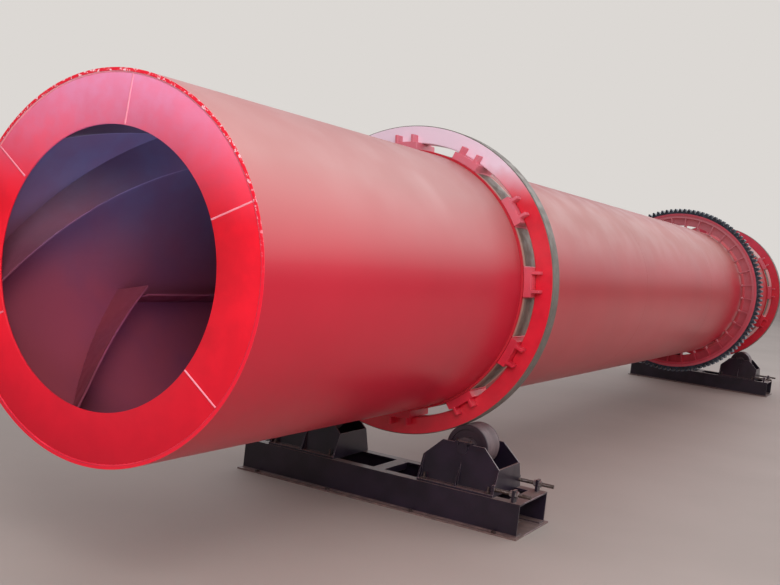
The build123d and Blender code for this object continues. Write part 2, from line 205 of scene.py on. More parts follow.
class Layers:
    """A material under way: its node tree, its shader and the patterns laid on them."""

    def __init__(self, name: str) -> None:
        """Start a material.

        Args:
            name: The material's name.
        """
        self.material = bpy.data.materials.new(name)
        self.material.use_nodes = True
        self.tree = self.material.node_tree
        self.shader = self.tree.nodes["Principled BSDF"]

    def set(self, **values: float) -> None:
        """Set plain numbers on the shader, with spaces of the names written as underscores."""
        for name, value in values.items():
            self.shader.inputs[name.replace("_", " ")].default_value = value

    def finish(self, colour: Socket, rough: Socket | float, *bumps: tuple[Socket, float]) -> None:
        """Give the shader its colour, roughness and bumps.

        Args:
            colour: The base colour.
            rough: The roughness, or one number where it is the same all over.
            bumps: Pairs of a height from 0 to 1 and its depth in millimetres, one on the other.
        """
        self.tree.links.new(colour, self.shader.inputs["Base Color"])
        if isinstance(rough, Socket):
            self.tree.links.new(rough, self.shader.inputs["Roughness"])
        else:
            self.set(Roughness=rough)
        normal = None
        for height, depth_mm in bumps:
            inputs: dict[int | str, Any] = {"Height": height, "Distance": depth_mm / 1000}
            if normal is not None:
                inputs["Normal"] = normal
            normal = add_node(self.tree, "Bump", None, inputs)[0]
        self.tree.links.new(normal, self.shader.inputs["Normal"])

    def product(self, value: Socket, *shares: Socket | float) -> Socket:
        """Multiply a value by shares.

        Args:
            value: The first value.
            shares: Numbers or sockets to multiply it by.

        Returns:
            The product's socket.
        """
        for share in shares:
            value = add_node(self.tree, "Math", {"operation": "MULTIPLY"}, {0: value, 1: share})[0]
        return value

    def between(self, share: Socket, low: Socket | float, high: Socket | float) -> Socket:
        """A number between two others, by a share from 0 to 1."""
        return add_node(self.tree, "Mix", {"data_type": "FLOAT"}, {0: share, 2: low, 3: high})[0]

    def coords(self, kind: str = "Object") -> Socket:
        """Coordinates or normals fixed to the piece."""
        return add_node(self.tree, "TexCoord")[kind]

    def place(self, stretch: Point = EVEN) -> Socket:
        """Coordinates with each axis multiplied by its stretch, to draw a pattern out."""
        inputs = {"Vector": self.coords(), "Scale": stretch}
        return add_node(self.tree, "Mapping", None, inputs)[0]

    def part(self, axis: str) -> Socket:
        """One coordinate, X, Y or Z, fixed to the piece."""
        return add_node(self.tree, "SeparateXYZ", None, {0: self.coords()})[axis]

    def ripple(self, size_mm: float, stretch: Point = EVEN, detail: float = 0.0) -> Socket:
        """Unevenness with a real size, smooth unless it has detail, for bumps under a gloss.

        Args:
            size_mm: The size of one swell.
            stretch: How much each axis is multiplied by.
            detail: Octaves of finer swells.

        Returns:
            A height from 0 to 1.
        """
        inputs = {"Vector": self.place(stretch), "Scale": per_metre(size_mm), "Detail": detail}
        return add_node(self.tree, "TexNoise", None, inputs)[0]

    def mottle(
        self, size_mm: float, low: float = 0.0, high: float = 1.0, stretch: Point = EVEN
    ) -> Socket:
        """Cloudy variation with a real size.

        Args:
            size_mm: The size of one cloud.
            low, high: The values in the hollows and on the peaks.
            stretch: How much each axis is multiplied by.

        Returns:
            A value between low and high.
        """
        clouds = self.ripple(size_mm, stretch, CLOUD_DETAIL)
        return self.step(clouds, CLOUD_HOLLOW, CLOUD_PEAK, low, high)

    def step(
        self, value: Socket, start: float, end: float, low: float = 0.0, high: float = 1.0
    ) -> Socket:
        """A smooth change that follows a value.

        Args:
            value: What the change follows.
            start, end: The values where it starts and ends.
            low, high: The results there and beyond.

        Returns:
            The result's socket.
        """
        inputs = {"Value": value, 1: start, 2: end, 3: low, 4: high}
        return add_node(self.tree, "MapRange", {"interpolation_type": "SMOOTHSTEP"}, inputs)[0]

    def upward(self, start: float, end: float) -> Socket:
        """How far a face looks up, for settled dust, and on the shell also for painted sheen from
        above.

        Args:
            start, end: The upward parts of the normal that give 0 and 1.

        Returns:
            A value from 0 to 1.
        """
        normal = self.coords("Normal")
        height = add_node(self.tree, "SeparateXYZ", None, {0: normal})["Z"]
        inputs = {"Value": height, 1: start, 2: end, 3: 0.0, 4: 1.0}
        return add_node(self.tree, "MapRange", None, inputs)[0]

    def from_nearer(self, places: Sequence[float]) -> Socket:
        """Distance along the drum from the nearer of two places, or from the only one.

        Args:
            places: The X of each place.

        Returns:
            The distance in metres.
        """
        value = self.part("X")
        for offset in ((places[0] + places[-1]) / 2, (places[-1] - places[0]) / 2):
            moved = add_node(self.tree, "Math", {"operation": "SUBTRACT"}, {0: value, 1: offset})[0]
            value = add_node(self.tree, "Math", {"operation": "ABSOLUTE"}, {0: moved})[0]
        return value

    def distance(self, place: Socket, point: Point) -> Socket:
        """Distance of a place from a fixed point, in metres."""
        inputs = {0: place, 1: point}
        return add_node(self.tree, "VectorMath", {"operation": "DISTANCE"}, inputs)["Value"]

    def from_axis(self) -> Socket:
        """Distance from the drum's axis.

        Returns:
            The distance in metres.
        """
        across = {0: self.coords(), 1: (0, 1, 1)}
        flat = add_node(self.tree, "VectorMath", {"operation": "MULTIPLY"}, across)[0]
        return self.distance(flat, (0, 0, AXIS_Z))

    def tint(self, share: Socket, under: Socket | str, over: Socket | str) -> Socket:
        """Lay one colour over another.

        Args:
            share: How much of the upper colour shows, from 0 to 1.
            under: The colour below, as a socket or an sRGB hex.
            over: The colour on top, given the same way.

        Returns:
            The mixed colour's socket.
        """
        under, over = (linear(tone) if isinstance(tone, str) else tone for tone in (under, over))
        inputs = {0: share, 6: under, 7: over}
        return add_node(self.tree, "Mix", {"data_type": "RGBA"}, inputs)[2]

    def clouded(
        self, size_mm: float, most: float, tone: str, other: str, stretch: Point = EVEN
    ) -> Socket:
        """A tone with clouds of size_mm that hold another one, up to the share most."""
        return self.tint(self.mottle(size_mm, 0.0, most, stretch), tone, other)

    def primer(self, stretch: Point = EVEN) -> Socket:
        """Colour of the maroon primer inside, with a painted cool-blue cast over its upper part
        that stands in for bluish light there.

        Args:
            stretch: How much each axis is multiplied by, to draw the clouds out.

        Returns:
            The colour's socket.
        """
        maroon = self.clouded(420, 1.0, "#8a3c48", "#7d3a4b", stretch)
        # painted light: the upper part takes a cool blue-grey cast, standing in for bluish light
        # falling there
        upper = self.step(self.part("Z"), AXIS_Z - 0.25, AXIS_Z + 0.6)
        return self.tint(self.product(upper, self.mottle(300, 0.6, 0.9)), maroon, "#70728a")


@dataclass(frozen=True)
class Finish:
    """A real surface finish; each kind of finish lays its own layers."""

    name: str

    def material(self) -> Material:
        """Make the material of this finish.

        Returns:
            A new material with its node tree laid out.
        """
        layers = Layers(self.name)
        self.lay(layers)
        return layers.material

    def lay(self, on: Layers) -> None:
        """Lay the finish's colour, roughness and bumps.

        Args:
            on: The material under way.
        """
        raise NotImplementedError


@dataclass(frozen=True)
class SprayedShell(Finish):
    """Alkyd enamel sprayed on rolled plate, with maroon primer on the bore side.

    The eye sees a deep gloss red that mirrors the surroundings in slow waves on its sides, and a
    chalky pink over the upper half that is settled dust and painted sheen from the light above,
    browner beyond the first riding ring and reddest along its crown there; just behind the gear
    that pink is left off as painted shade where the gear hides the light, and the paint is rougher;
    white flecks on the upper rim of each end, flaked paint with painted glints; and a dull
    brown-red inside.
    """

    red: str = "#c61f35"
    deep_red: str = "#af182b"
    # pale pink over the upper shell: settled dust and painted sheen from the light above
    dust: str = "#bb9590"
    brown_dust: str = "#b6837a"
    crown_dust: str = "#97534f"
    rim: str = "#ee2038"
    # white flecks on the upper rim: flaked paint and painted glints
    chip: str = "#ffd2dc"
    rim_depth: float = 0.003
    bore_radius: float = 0.7866
    ring_reach: float = 0.2
    # painted shade behind the gear: how much of the pale layer is left off there, and its roughness
    mist_share: float = 0.8
    mist_rough: float = 0.9
    primer_rough: float = 0.55

    def lay(self, on: Layers) -> None:
        """Lay enamel, dust with painted sheen and painted shade behind the gear, the flaked rim
        with painted glints outside, and primer inside the bore's radius.

        Args:
            on: The material under way.
        """
        outside = on.step(on.from_axis(), self.bore_radius - 0.0002, self.bore_radius)
        along = on.part("X")
        beyond = on.step(along, RINGS_X[0] - self.ring_reach, RINGS_X[0] + self.ring_reach)
        # beyond the first ring the pale layer turns browner, and darker red along the crown: dust
        # and painted sheen
        crown = on.product(beyond, on.upward(0.8, 0.98))
        dust = on.tint(crown, on.tint(beyond, self.dust, self.brown_dust), self.crown_dust)
        up = on.upward(0.14, 0.66)
        # painted shade: just behind the gear the pale dust-and-sheen is left off where the gear
        # hides the light, and the paint is rougher
        sheltered = on.product(
            on.step(along, GEAR_X - 0.08, GEAR_X + 0.02),
            on.step(along, GEAR_X + 1.7, GEAR_X + 0.5), self.mist_share,
        )
        # the part that keeps its pale layer, out of the painted shade behind the gear
        clear = add_node(on.tree, "Math", {"operation": "SUBTRACT"}, {0: 1.0, 1: sheltered})[0]
        # the pale dust-and-sheen layer, by how far a face looks up; in part a painted highlight
        settled = on.product(up, clear, on.mottle(900, 0.64, 0.7, LENGTHWISE))
        spread = on.product(
            beyond, on.step(on.from_nearer([GEAR_X]), 0.15, 0.9),
            on.mottle(700, 0.14, 0.2, LENGTHWISE),
        )
        red = on.clouded(1400, 0.6, self.red, self.deep_red)
        most = add_node(on.tree, "Math", {"operation": "MAXIMUM"}, {0: settled, 1: spread})[0]
        enamel = on.tint(most, red, dust)
        # white flecks only on the upper half of the rim: flaked paint with painted glints where
        # light falls
        chips_and_glints = on.product(on.step(on.part("Z"), AXIS_Z, AXIS_Z + 0.5), on.mottle(11, -2.4))
        at_rim = on.step(on.from_nearer(DRUM_ENDS_X), self.rim_depth, self.rim_depth - 0.001)
        enamel = on.tint(at_rim, enamel, on.tint(chips_and_glints, self.rim, self.chip))
        gloss = on.between(up, on.mottle(420, 0.282, 0.3), on.mottle(300, 0.42, 0.52))
        rough = on.between(sheltered, gloss, self.mist_rough)
        on.set(IOR=1.36)
        on.finish(
            on.tint(outside, on.primer(), enamel), on.between(outside, self.primer_rough, rough),
            (on.ripple(480, (0.3, 1, 1)), 3.5), (on.ripple(14), 0.02),
        )


@dataclass(frozen=True)
class BrushedEnamel(Finish):
    """Enamel brushed on cut plate, as on the end plates, tyre faces and brackets.

    The eye sees a strong fresh red, painted darker low down as shade, fine brush drag and a pale
    painted sheen over the upper part that stands in for light falling from above.
    """

    red: str = "#f81a30"
    deep_red: str = "#e2172b"
    # pale painted sheen over the upper part: a painted highlight standing in for light from above
    bloom: str = "#f6aad6"
    bloom_share: float = 0.85
    bloom_from: float = 0.2
    bloom_to: float = 0.9
    # darker red laid below the axis as painted shade
    low_red: str = "#b8142a"
    low_share: float = 0.0
    low_reach: float = 0.9
    rough: float = 0.45
    shine: float = 0.25
    coat: float = 0.0

    def lay(self, on: Layers) -> None:
        """Lay two reds, the painted shade low down, the painted sheen on the upper part and the
        brush drag.

        Args:
            on: The material under way.
        """
        height = on.part("Z")
        # painted shade: the red turns darker below the axis, where less light falls
        lower = on.step(height, AXIS_Z, AXIS_Z - self.low_reach)
        red = on.clouded(120, 0.7, self.red, self.deep_red)
        red = on.tint(on.product(lower, self.low_share), red, self.low_red)
        # painted sheen: a pale wash that grows with height, standing in for light from above
        upper = on.step(height, AXIS_Z + self.bloom_from, AXIS_Z + self.bloom_to)
        share = on.product(upper, on.mottle(60, 0.85 * self.bloom_share, self.bloom_share))
        on.set(Coat_Weight=self.coat, Coat_Roughness=COAT_ROUGH, IOR=PAINT_IOR)
        on.set(Specular_IOR_Level=self.shine)
        on.finish(
            on.tint(share, red, self.bloom), on.mottle(90, self.rough - 0.015, self.rough + 0.09),
            (on.ripple(220), 1.6), (on.mottle(16, stretch=(1, 0.25, 1)), 0.12),
        )


@dataclass(frozen=True)
class BarePlate(Finish):
    """Wear band of rolled plate, painted at its edges and rubbed bare between the chairs.

    The eye sees a grey-olive mill surface, kept darker under the ring as bare steel without dust
    toned as painted shade of the ring, and dusty where the ring no longer covers it, with a red rim
    at each side.
    """

    red: str = "#c81c30"
    bare: str = "#8f8277"
    stain: str = "#75675c"
    dusty: str = "#b7998b"
    bare_half_width: float = 0.118
    # half width under the ring kept darker: clean steel and painted shade of the ring
    clean_half_width: float = 0.09

    def lay(self, on: Layers) -> None:
        """Lay red paint outside the bare width and stained steel within it.

        Args:
            on: The material under way.
        """
        away = on.from_nearer(RINGS_X)
        painted = on.step(away, self.bare_half_width - 0.003, self.bare_half_width)
        # under the ring the band keeps its darker bare tone: no dust there, and painted shade of
        # the ring
        dusty_unshaded_side = on.step(away, self.clean_half_width - 0.01, self.clean_half_width)
        metal = on.tint(dusty_unshaded_side, on.clouded(70, 1.0, self.bare, self.stain), self.dusty)
        on.set(IOR=PAINT_IOR)
        on.finish(on.tint(painted, metal, self.red), on.mottle(40, 0.5, 0.7), (on.mottle(9), 0.15))


@dataclass(frozen=True)
class TurnedSteel(Finish):
    """Forged steel turned on a lathe and then run on rollers.

    The eye sees a grey face with fine rings round it and a warmer stain.
    """

    steel: str = "#7c746d"
    stain: str = "#6b625b"
    rough: float = 0.5
    ring_mm: float = 7.0
    ring_share: float = 0.35

    def lay(self, on: Layers) -> None:
        """Lay steel and stain with rings that follow the turning.

        Args:
            on: The material under way.
        """
        rings = on.mottle(self.ring_mm, stretch=(1, 0.04, 0.04))
        steel = on.clouded(130, 0.8, self.steel, self.stain)
        on.set(Metallic=STEEL_METAL)
        on.finish(
            on.tint(on.product(rings, self.ring_share), steel, self.stain),
            on.mottle(60, self.rough - 0.08, self.rough + 0.12), (rings, 0.06),
        )


@dataclass(frozen=True)
class OiledGear(Finish):
    """Cast steel gear rim, cut on its teeth and coated with black open-gear grease.

    The eye sees a red painted inner rim, a blue-black outer one, and tooth tips and flanks a
    little rubbed and greyer.
    """

    grease: str = "#1d232d"
    film: str = "#3b4756"
    rubbed: str = "#6e7785"
    paint: str = "#dc5f70"
    painted_radius: float = 0.984
    pitch_radius: float = 1.026

    def lay(self, on: Layers) -> None:
        """Lay paint inside, grease over the rim and rubbed steel towards the tooth tips.

        Args:
            on: The material under way.
        """
        radius = on.from_axis()
        outer = on.step(radius, self.painted_radius - 0.004, self.painted_radius)
        body = on.tint(outer, self.paint, on.clouded(50, 1.0, self.grease, self.film))
        tips = on.step(radius, self.pitch_radius - 0.01, self.pitch_radius + 0.016)
        on.set(Metallic=STEEL_METAL, IOR=PAINT_IOR)
        on.finish(
            on.tint(on.product(tips, on.mottle(25, 0.2, 0.9)), body, self.rubbed),
            on.mottle(35, 0.3, 0.5), (on.mottle(12), 0.4),
        )


@dataclass(frozen=True)
class BlackEnamel(Finish):
    """Black machinery enamel on rolled sections and cut plate, standing on a shop floor.

    The eye sees a purplish gloss black with reddish-brown dust on what looks up and
    along the foot.
    """

    black: str = "#1a1220"
    worn: str = "#291d2e"
    dust: str = "#8f756e"
    dust_share: float = 0.75
    dust_rough: float = 0.62
    foot_height: float = 0.022
    foot_solid: float = 0.006

    def lay(self, on: Layers) -> None:
        """Lay black enamel, dust on upward faces and the dusty foot.

        Args:
            on: The material under way.
        """
        foot = on.step(on.part("Z"), self.foot_height, self.foot_solid)
        splashed = on.product(foot, on.mottle(45, 0.45, 0.9))
        settled = on.product(on.upward(0.6, 0.98), on.mottle(70, 0.45, self.dust_share))
        share = add_node(on.tree, "Math", {"operation": "MAXIMUM"}, {0: splashed, 1: settled})[0]
        on.set(Coat_Weight=0.12, Coat_Roughness=COAT_ROUGH, IOR=PAINT_IOR)
        on.finish(
            on.tint(share, on.clouded(160, 1.0, self.black, self.worn), self.dust),
            on.between(share, on.mottle(120, 0.29, 0.38), self.dust_rough),
            (on.ripple(240), 1.4), (on.mottle(11), 0.08),
        )


@dataclass(frozen=True)
class RollerFace(Finish):
    """Steel trunnion roller, black enamel on its sides and a bare rolled-bright rim.

    The eye sees a dark disc with a greyer hub and a pale band, dark at its edges, where the
    tyre runs.
    """

    black: str = "#33232d"
    hub: str = "#4b3d42"
    rim: str = "#776265"
    stain: str = "#625053"
    rim_radius: float = 0.1335
    hub_radius: float = 0.064
    track_half_width: float = 0.088

    def lay(self, on: Layers) -> None:
        """Lay zones by the distance from the roller's own axle.

        Args:
            on: The material under way.
        """
        across = add_node(on.tree, "Math", {"operation": "ABSOLUTE"}, {0: on.part("Y")})[0]
        flat = add_node(on.tree, "CombineXYZ", None, {0: 0.0, 1: across, 2: on.part("Z")})[0]
        radius = on.distance(flat, (0, ROLLER_Y, ROLLER_Z))
        rim = on.step(radius, self.rim_radius - 0.0005, self.rim_radius)
        track = on.step(
            on.from_nearer(ROLLERS_X), self.track_half_width, self.track_half_width - 0.003
        )
        off_hub = on.step(radius, self.hub_radius - 0.003, self.hub_radius)
        on.set(IOR=PAINT_IOR)
        on.finish(
            on.tint(
                on.product(rim, track), on.tint(off_hub, self.hub, self.black),
                on.clouded(60, 1.0, self.rim, self.stain, (1, 0.2, 0.2)),
            ),
            on.mottle(40, 0.45, 0.6), (on.mottle(10), 0.12),
        )


@dataclass(frozen=True)
class ZincSteel(Finish):
    """Zinc-plated fasteners and oiled screws, a little stained.

    The eye sees small grey glints with brown in the corners; thread_mm above 0 draws a
    thread round an adjusting screw, coarser than the real pitch so that it shows.
    """

    zinc: str
    stain: str
    thread_mm: float = 0.0

    def lay(self, on: Layers) -> None:
        """Lay plated steel, its stain and the thread if it has one.

        Args:
            on: The material under way.
        """
        bumps = [(on.mottle(6), 0.1)]
        if self.thread_mm:
            scale = per_metre(self.thread_mm) / math.tau
            inputs = {"Vector": on.place(), "Scale": scale}
            turns = add_node(on.tree, "TexWave", {"bands_direction": "Y"}, inputs)["Fac"]
            bumps.append((turns, self.thread_mm / 3))
        on.set(Metallic=0.85)
        on.finish(on.clouded(22, 0.9, self.zinc, self.stain), on.mottle(15, 0.28, 0.5), *bumps)


@dataclass(frozen=True)
class InsidePrimer(Finish):
    """Maroon primer on the flights inside, brushed and rubbed by handling.

    The eye sees a dull brown-red plate with a painted cool grey cast towards the top of the drum,
    standing in for bluish light there.
    """

    def lay(self, on: Layers) -> None:
        """Lay cloudy primer with a faint drag along the plates.

        Args:
            on: The material under way.
        """
        on.set(IOR=PAINT_IOR)
        on.finish(
            on.primer((0.5, 1, 1)), on.mottle(120, 0.4, 0.62),
            (on.mottle(300), 1.5), (on.mottle(12, stretch=(0.3, 1, 1)), 0.1),
        )


@dataclass(frozen=True)
class ShopFloor(Finish):
    """Pale trowelled concrete under the dryer, plain with the faintest clouds."""

    concrete: str = "#b2a59e"
    cloud: str = "#ac9f98"

    def lay(self, on: Layers) -> None:
        """Lay two near tones of concrete.

        Args:
            on: The material under way.
        """
        on.set(IOR=PAINT_IOR)
        on.finish(on.clouded(1800, 1.0, self.concrete, self.cloud), 0.7, (on.mottle(25), 0.2))


class Paints:
    """All finishes of the dryer, each made once."""

    def __init__(self) -> None:
        """Make every material."""
        self.shell = SprayedShell("sprayed_red_enamel").material()
        # the end plate is painted darker towards the bottom, as shade
        self.end_plate = BrushedEnamel("brushed_red_enamel_end", low_share=0.75).material()
        self.tyre_faces = {
            # the near tyre face takes a strong painted sheen towards its top, a painted highlight
            End.FEED: BrushedEnamel(
                "brushed_red_enamel_tyre", red="#ee2139", deep_red="#d41c32", bloom="#ffe6f7",
                bloom_share=1.3, bloom_from=0.52, bloom_to=0.86, low_share=0.3, rough=0.3,
                shine=0.5, coat=0.3,
            ).material(),
            End.DISCHARGE: BrushedEnamel(
                "brushed_red_enamel_far_tyre", red="#e8243e", deep_red="#cc1e36", bloom_share=0.12,
                rough=0.34, shine=0.5,
            ).material(),
        }
        self.bracket = BrushedEnamel(
            "brushed_red_enamel_bracket", red="#e4263f", deep_red="#c41d36", bloom="#f2a9bb",
            bloom_share=0.5, bloom_from=-0.5, bloom_to=0.85, rough=0.34, shine=0.5,
        ).material()
        self.carrier = BrushedEnamel(
            "brushed_red_enamel_carrier", red="#dc4257", deep_red="#c2364c", bloom="#ecaab4",
            bloom_share=0.65, bloom_from=-1.1, bloom_to=1.0, rough=0.38, shine=0.4,
        ).material()
        # the weld seams' pale pink is a painted highlight of light caught on the raised bead
        self.seam = BrushedEnamel(
            "enamel_over_weld", red="#f59aa9", deep_red="#ef7f92", bloom_share=0.2
        ).material()
        self.bead = BrushedEnamel(
            "enamel_over_fillet", red="#f4354c", deep_red="#d41d33", bloom="#ffc3d2",
            bloom_share=0.7, bloom_from=0.0, bloom_to=0.8, rough=0.36,
        ).material()
        # pale pink-grey on the rounded edges of black parts: rubbed paint and painted edge
        # highlight
        self.edge = BrushedEnamel(
            "rubbed_black_enamel_edge", red="#a18b93", deep_red="#6b5860", bloom_share=0.0,
            shine=0.4,
        ).material()
        self.wear_band = BarePlate("rolled_wear_band").material()
        self.turned = TurnedSteel("turned_tyre_steel").material()
        self.inside = InsidePrimer("maroon_primer").material()
        self.gear = OiledGear("greased_gear_steel").material()
        self.black = BlackEnamel("black_machinery_enamel").material()
        self.roller = RollerFace("trunnion_roller_steel").material()
        self.zinc = ZincSteel("stained_bolt_steel", "#6f6261", "#4e3b38").material()
        self.nut = ZincSteel("bright_zinc_nuts", "#b9b2b3", "#7c706d").material()
        self.screw = ZincSteel("threaded_bar_steel", "#7d7270", "#57473f", 5.0).material()
        self.floor = ShopFloor("trowelled_concrete").material()


class Fastener(Enum):
    """Kinds of fastener, each made of stacks of rings.

    A stack is its number of corners, then the distance from the seat and the radius of each
    ring, both as shares of the thread's diameter.
    """

    HEX_BOLT = (
        (24, ((0, 1), (0.16, 1), (0.18, 0.97))),
        (6, ((0.18, 0.86), (0.7, 0.86), (0.8, 0.72))),
    )
    NUT_ON_STUD = (
        (24, ((0, 1), (0.18, 1))),
        (6, ((0.18, 0.8), (0.26, 0.88), (0.9, 0.88), (0.98, 0.8))),
        (16, ((0.5, 0.5), (2.9, 0.5), (3, 0.4))),
    )
    SCREW_NUT = ((6, ((0, 0.78), (0.08, 0.86), (0.68, 0.86), (0.76, 0.78))),)


class Form:
    """A mesh under construction that becomes one named piece."""

    def __init__(self) -> None:
        """Start with an empty mesh."""
        self.mesh = bmesh.new()

    def bridge(self, first: Sequence[Any], second: Sequence[Any], closed: bool = True) -> list[Any]:
        """Join two rings of vertices with four-sided faces.

        Args:
            first, second: The vertices of each ring, in the same order.
            closed: Whether the last vertex joins the first.

        Returns:
            The faces, in order round the rings.
        """
        pairs = list(zip(first, second))
        after = pairs[1:] + (pairs[:1] if closed else [])
        return [self.mesh.faces.new((a, c, d, b)) for (a, b), (c, d) in zip(pairs, after)]

    def lathe(self, profile: Sequence[Pair], segments: int, indices: Sequence[int] = ()) -> None:
        """Turn a closed outline about the drum's axis.

        Args:
            profile: Points as (x, radius), in order round the outline.
            segments: How many steps the turn has.
            indices: The material index of each side of the outline.
        """
        rings = []
        for turn in range(segments):
            unit = spoke(math.tau * turn / segments)
            rings.append([self.mesh.verts.new(on_axis(x) + unit * radius) for x, radius in profile])
        for ring, following in zip(rings, rings[1:] + rings[:1]):
            for face, index in zip(self.bridge(ring, following), indices):
                face.material_index = index

    def bead(
        self, path: Sequence[Vector], ups: Sequence[Vector], size: Pair, closed: bool = False
    ) -> None:
        """Lay a weld bead of rippled half-round section along a path.

        Args:
            path: Points along the joint, one ripple apart.
            ups: The direction away from the joint at each point.
            size: The bead's width, and its height over the joint.
            closed: Whether the path closes on itself.
        """
        width, height = size
        ripple = RING_RIPPLE if closed else STRAIGHT_RIPPLE
        sections = []
        outer = (path[-1], path[0]) if closed else (path[0], path[-1])
        around = zip(path, ups, [outer[0], *path[:-1]], [*path[1:], outer[1]])
        for index, (point, up, before, after) in enumerate(around):
            side = (after - before).normalized().cross(up).normalized()
            beat = 0.5 * math.sin(index * RIPPLE_BEAT)
            swell = 1 + ripple * (1 if index % 2 else -1) + ripple * beat
            ring = []
            for corner in range(BEAD_CORNERS):
                turn = math.pi * corner / (BEAD_CORNERS - 1)
                rise = up * (math.sin(turn) * height * swell)
                reach = side * (math.cos(turn) * width / 2)
                ring.append(self.mesh.verts.new(point + reach + rise))
            sections.append(ring)
        for first, second in zip(sections, sections[1:] + (sections[:1] if closed else [])):
            self.bridge(first, second, closed=False)

    def ring_bead(self, x: float, radius: float, lean: Pair, size: Pair) -> None:
        """Lay a bead right round the drum.

        Args:
            x: Where it is along the drum.
            radius: Its radius from the drum's axis.
            lean: The bead's up direction as (along the drum, away from the axis).
            size: The bead's width and height.
        """
        count = 2 * round(math.pi * radius / RING_BEAD_STEP)
        units = [spoke(math.tau * turn / count) for turn in range(count)]
        path = [on_axis(x) + unit * radius for unit in units]
        ups = [(along_x(lean[0]) + unit * lean[1]).normalized() for unit in units]
        self.bead(path, ups, size, closed=True)

    def straight_bead(self, start: Vector, end: Vector, up: Vector, size: Pair) -> None:
        """Lay a bead along a straight joint.

        Args:
            start, end: Where it starts and ends.
            up: The direction away from the joint.
            size: The bead's width and height.
        """
        count = max(4, round((end - start).length / BEAD_STEP))
        path = [start.lerp(end, step / (count - 1)) for step in range(count)]
        self.bead(path, [up.normalized()] * count, size)

    def foot_beads(
        self, ends_x: Pair, angle: float, radius: float, half: float, width: float
    ) -> None:
        """Lay a fillet along both feet of a plate that stands on the drum.

        Args:
            ends_x: Where the fillets start and end along the drum.
            angle: The plate's place round the drum, in radians.
            radius: The distance of the feet from the axis.
            half: The distance of the feet from the plate's middle.
            width: The fillets' width; they are half as high.
        """
        for side in (-1, 1):
            foot = on_axis() + spoke(angle) * radius + round_way(angle) * (side * half)
            start, end = (foot + along_x(x) for x in ends_x)
            up = spoke(angle) + round_way(angle) * side
            self.straight_bead(start, end, up, (width, width / 2))

    def fasten(
        self, kind: Fastener, seat: Vector, size: float, turn: float, along: Vector = UPRIGHT
    ) -> None:
        """Set a fastener on a seat.

        Args:
            kind: The kind of fastener.
            seat: The middle of its underside.
            size: The thread's diameter.
            turn: A turn of its hexagon, in radians.
            along: The direction it stands in.
        """
        helper = UPRIGHT if abs(along.z) < 0.9 else along_x(1)
        first = along.cross(helper).normalized()
        second = along.cross(first)
        for corners, steps in kind.value:
            twist = turn if corners == 6 else 0.0
            rings = []
            for distance, radius in steps:
                centre = seat + along * (distance * size)
                angles = [math.tau * corner / corners + twist for corner in range(corners)]
                units = [first * math.cos(angle) + second * math.sin(angle) for angle in angles]
                rings.append([self.mesh.verts.new(centre + u * (radius * size)) for u in units])
            for low, high in zip(rings, rings[1:]):
                self.bridge(low, high)
            for ring in (rings[0], rings[-1]):
                self.mesh.faces.new(ring)

    def piece(
        self, name: str, body: str, slot: str, *materials: Material, angle: float = BOLT_ANGLE
    ) -> bpy.types.Object:
        """Close the mesh as a named piece that rides on a body.

        Args:
            name: The piece's name.
            body: The CAD body it moves with.
            slot: The record's material slot; not used.
            materials: Its materials, in the order of the faces' indices.
            angle: Edges sharper than this many degrees stay crisp.

        Returns:
            The new object.
        """
        bmesh.ops.recalc_face_normals(self.mesh, faces=self.mesh.faces)
        data = bpy.data.meshes.new(name)
        self.mesh.to_mesh(data)
        self.mesh.free()
        data.shade_smooth()
        data.set_sharp_from_angle(angle=math.radians(angle))
        for material in materials:
            data.materials.append(material)
        made = add_object(name, data)
        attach(made, body)
        log.info("piece %s on %s, %d faces", name, body, len(data.polygons))
        return made


@dataclass
class Dresser:
    """Puts finishes on CAD nodes, or stands a softened copy in for one."""

    paints: Paints

    def paint(self, material: Material, *nodes: str) -> None:
        """Give CAD nodes a finish.

        Args:
            material: The finish.
            nodes: The nodes' names.
        """
        for name in nodes:
            data = frame["nodes"][name].data
            data.materials.clear()
            data.materials.append(material)
            log.info("finish %s on %s", material.name, name)

    def soften(
        self, node: str, name: str, body: str, slot: str, width: float, *materials: Material
    ) -> None:
        """Stand a copy with small rounded edges in for a CAD node.

        Args:
            node: The CAD node's name.
            name, body, slot: The new piece's, as for Form.piece.
            width: The width of the rounding.
            materials: The finish, and that of the rounded edges if it is another.
        """
        form = Form()
        form.mesh.from_mesh(frame["nodes"][node].data)
        for face in form.mesh.faces:
            face.material_index = 0
        bmesh.ops.remove_doubles(form.mesh, verts=form.mesh.verts, dist=SAME_PLACE)
        bmesh.ops.dissolve_limit(
            form.mesh, angle_limit=FLAT_ANGLE, verts=form.mesh.verts, edges=form.mesh.edges
        )
        corners = [
            edge for edge in form.mesh.edges
            if len(edge.link_faces) == 2 and edge.calc_face_angle(0) > CORNER_ANGLE
        ]
        bmesh.ops.bevel(
            form.mesh, geom=corners, offset=width, segments=2, profile=0.6, affect="EDGES",
            clamp_overlap=True, material=len(materials) - 1,
        )
        made = form.piece(name, body, slot, *materials, angle=PLATE_ANGLE)
        made.modifiers.new("even_faces", "WEIGHTED_NORMAL").keep_sharp = True
        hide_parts(node)


